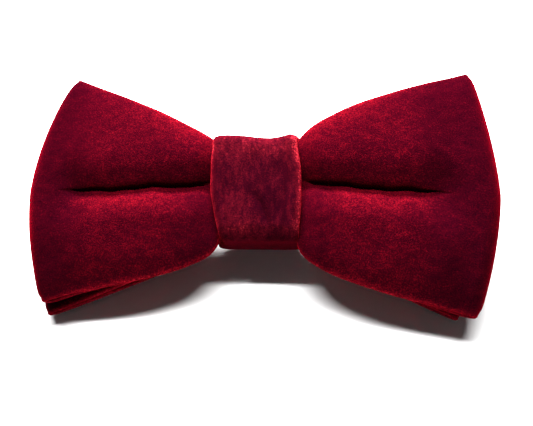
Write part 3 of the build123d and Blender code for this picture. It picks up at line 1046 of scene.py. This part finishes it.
def crest_painted_light(x, y, z):
    """Painted highlights along the crest below the front valley and on the upper slopes by the knot, and
    painted shade low by the knot.
    """
    reach = np.abs(x)
    crest = bumps(y, CREST) * plateau(reach, *CREST_SPAN)
    from_top = y.max(axis=1, keepdims=True) - y
    shoulder = bumps(from_top, SHOULDER) * plateau(reach, *SHOULDER_SPAN)
    pinch = PINCH * smooth(-y, *PINCH_LOW_SPAN) * (1.0 - smooth(reach, *PINCH_FADE))
    return (crest + shoulder - pinch) * smooth(z, *FACE_SPAN)


def loop_painted_light(rings):
    """Painted sheen along a loop's edges, painted highlights on its crests and shoulders, and painted
    shade towards its ends.
    """
    x, y, z = np.moveaxis(rings, -1, 0)
    start = np.where(x < 0, LOOP_END_START[LEFT], LOOP_END_START[RIGHT])
    edges = LOOP_EDGE[0] * edge_sheen_mask(rings, ALONG_Y, LOOP_EDGE[1])
    painted_end_shade = LOOP_END_PAINTED_SHADE * smooth(np.abs(x), start, start + LOOP_END_RUN)
    return edges - painted_end_shade + crest_painted_light(x, y, z)


# The same for the knot band: nap patches on its face as (strength, x, width across, y, width up), the
# painted sheen along its edges as (strength, width), and the painted highlights on the turns at its top
# and near its bottom.
RUBBED = ((0.4, -3.5, 4.5, -8.0, 6.0), (0.16, -4.5, 2.5, 2.0, 6.0), (-0.25, 2.5, 4.5, -5.0, 4.0))
BAND_EDGE = {LEFT: (0.8, 0.6), RIGHT: (1.0, 1.4)}
BAND_EDGE_FADE = (10.5, 12.5)
TOP_LIT = 0.5
TOP_LIT_SPAN = (5.0, 11.0)
LOW_LIT = ((0.3, -10.8, 1.6),)
BAND_FACE_SPAN = (2.0, 6.0)


def band_nap_and_painted_light(rings):
    """Painted sheen along the band's edges and painted highlights on its top turn and near its bottom; on
    its face, nap patches rubbed lighter on the left and a darker patch right of the middle.
    """
    x, y, z = np.moveaxis(rings, -1, 0)
    patchy_marks = sum(strength * bump_at(x, across, wide) * bump_at(y, up, tall)
                 for strength, across, wide, up, tall in RUBBED)
    lit = TOP_LIT * smooth(y, *TOP_LIT_SPAN) + bumps(y, LOW_LIT)
    strength = np.where(x < 0, BAND_EDGE[LEFT][0], BAND_EDGE[RIGHT][0])
    edges = strength * edge_sheen_mask(rings, ALONG_X, np.where(x < 0, BAND_EDGE[LEFT][1], BAND_EDGE[RIGHT][1]))
    return edges * (1.0 - smooth(-y, *BAND_EDGE_FADE)) + (patchy_marks + lit) * smooth(z, *BAND_FACE_SPAN)


# Each velvet tube opened flat, then its interlining: length and width in metres, and the area in
# square metres where the sheet is cut in at the waist. The back loop is a little shorter.
LOOP_SHEETS = {
    "front_loop": ((0.24, 0.124), 0.0244, (0.236, 0.057), 0.0108),
    "back_loop": ((0.226, 0.124), 0.023, (0.222, 0.057), 0.0102),
}
KNOT_SHEETS = ((0.044, 0.082), None, (0.017, 0.081), None)
for title, loop_shape in (("front_loop", FRONT), ("back_loop", BACK)):
    make_cloth(title + "_cloth", loop_faces(loop_shape), ALONG_Y, loop_painted_light, wing_velvet, title,
               *LOOP_SHEETS[title])
make_cloth("knot_band", band_faces(), ALONG_X, band_nap_and_painted_light, knot_velvet, "knot", *KNOT_SHEETS)

pad = wadding_pad()
finish_piece(pad, cotton, "wadding", "knot_wadding")

for side, title in ((LEFT, "left"), (RIGHT, "right")):
    spring = wire_object(title + "_torsion_spring", coil_points(side))
    set_material(spring, spring_steel)
    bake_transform(spring)
    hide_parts(title + "_spring")

for name, obj in frame["nodes"].items():
    if "stitch" in name or "thread" in name:
        set_material(obj, thread)
    elif "clip" in name or "lever" in name or "pin" in name:
        set_material(obj, plated)

# ---------------------------------------------------------------- stage
FLOOR_HALF = 0.4
corners = [(x * FLOOR_HALF, y * FLOOR_HALF, 0) for x, y in ((-1, -1), (1, -1), (1, 1), (-1, 1))]
floor_mesh = bpy.data.meshes.new("floor")
floor_mesh.from_pydata(corners, [], [(0, 1, 2, 3)])
floor = bpy.data.objects.new("floor", floor_mesh)
bpy.context.scene.collection.objects.link(floor)
floor_material, _, floor_bsdf = new_material("white_floor")
floor_bsdf.inputs["Base Color"].default_value = (0.9, 0.9, 0.9, 1)
floor_bsdf.inputs["Roughness"].default_value = 0.6
set_material(floor, floor_material)

# White wherever the camera sees past the floor, and a dim even light everywhere else.
AMBIENT = 0.06
world = bpy.data.worlds.new("studio")
bpy.context.scene.world = world
world.use_nodes = True
backdrop = world.node_tree.nodes["Background"]
backdrop.inputs["Color"].default_value = (1, 1, 1, 1)
seen = node(world.node_tree, "ShaderNodeLightPath").outputs["Is Camera Ray"]
brightness = combine(world.node_tree, "MAXIMUM", seen, AMBIENT)
world.node_tree.links.new(brightness, backdrop.inputs["Strength"])


LIT_PLACE = Vector((0, 0, 0.01))


def area_light(name, place, size, power):
    """A rectangular light that faces the bow."""
    light = bpy.data.lights.new(name, "AREA")
    light.shape = "RECTANGLE"
    light.size, light.size_y = size
    light.energy = power
    obj = bpy.data.objects.new(name, light)
    bpy.context.scene.collection.objects.link(obj)
    obj.location = place
    obj.rotation_mode = "QUATERNION"
    obj.rotation_quaternion = (LIT_PLACE - Vector(place)).to_track_quat("-Z", "Y")


area_light("overhead_strip", place=(0.0, 0.15, 0.62), size=(0.56, 0.05), power=10.2)
area_light("back_softbox", place=(-0.05, 0.587, 0.381), size=(0.3, 0.1), power=37.0)

# ---------------------------------------------------------------- camera
CAMERA_AZ = math.radians(7.6)
CAMERA_BELOW = math.radians(17.6)
CAMERA_ROLL = math.radians(2.2)
CAMERA_DISTANCE = 0.180
SENSOR_WIDTH = 36.0
LENS = 46.54
LENS_SHIFT = (0.0135, -0.0287)
NEAREST = 0.01

camera_data = bpy.data.cameras.new("camera")
camera = bpy.data.objects.new("camera", camera_data)
bpy.context.scene.collection.objects.link(camera)
camera_data.sensor_width = SENSOR_WIDTH
camera_data.lens = LENS
camera_data.shift_x, camera_data.shift_y = LENS_SHIFT
camera_data.clip_start = NEAREST
back = Vector((math.sin(CAMERA_AZ) * math.cos(CAMERA_BELOW), -math.sin(CAMERA_BELOW),
               math.cos(CAMERA_AZ) * math.cos(CAMERA_BELOW)))
right = Vector((0, 1, 0)).cross(back).normalized()
up = back.cross(right)
rolled_right = math.cos(CAMERA_ROLL) * right + math.sin(CAMERA_ROLL) * up
rolled_up = back.cross(rolled_right)
turn = Matrix((rolled_right, rolled_up, back)).transposed()
camera.rotation_mode = "QUATERNION"
camera.location = TO_ROW @ (back * CAMERA_DISTANCE)
camera.rotation_quaternion = (TO_ROW.to_3x3() @ turn).to_quaternion()
bpy.context.scene.camera = camera
bpy.context.scene.view_settings.view_transform = "Standard"
